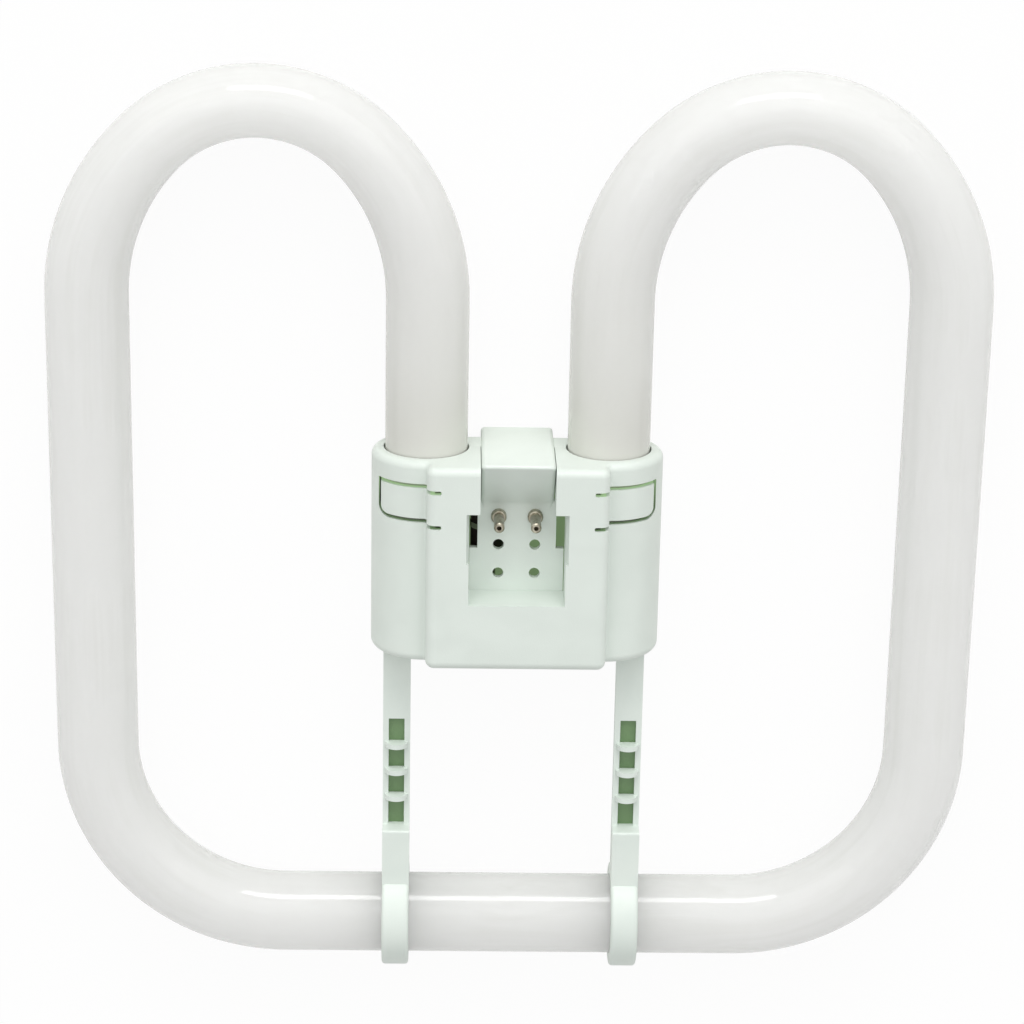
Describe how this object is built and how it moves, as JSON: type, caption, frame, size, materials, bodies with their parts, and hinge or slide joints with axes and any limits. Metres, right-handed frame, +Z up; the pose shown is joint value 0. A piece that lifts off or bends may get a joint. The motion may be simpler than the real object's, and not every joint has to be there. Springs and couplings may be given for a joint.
{
  "type": "square compact fluorescent lamp",
  "caption": "Flat plug-in lamp: a white glass tube bent into a rounded square with loops, held by a moulded centre cap with recessed contact pins and by ladder-shaped support arms.",
  "frame": {"origin": "on the surface that the lamp lies on, under the middle of its box", "axes": "+X across the lamp, +Y from the straight bottom run of the tube towards the loops, +Z up along the contact pins"},
  "size_m": [0.205, 0.2082, 0.029],
  "materials": {
    "coated_glass": "glossy glass over a white inner coating",
    "cap_plastic": "fine moulded texture",
    "arm_plastic": "fine moulded texture",
    "pin_metal": "nickel plated and turned",
    "starter_body": "dark, satin",
    "capacitor_body": "dipped",
    "lead_wire": "tinned wire"
  },
  "bodies": {
    "root": {"discharge_tube": "coated_glass", "cap_front_shell": "cap_plastic", "cap_rear_shell": "cap_plastic", "contact_pin_left": "pin_metal", "contact_pin_right": "pin_metal", "support_arm_left": "arm_plastic", "support_arm_right": "arm_plastic", "glow_starter": "starter_body", "starter_capacitor": "capacitor_body", "lead_left_to_pin": "lead_wire", "lead_right_to_pin": "lead_wire", "lead_left_to_starter": "lead_wire", "lead_right_to_starter": "lead_wire"}
  },
  "joints": []
}
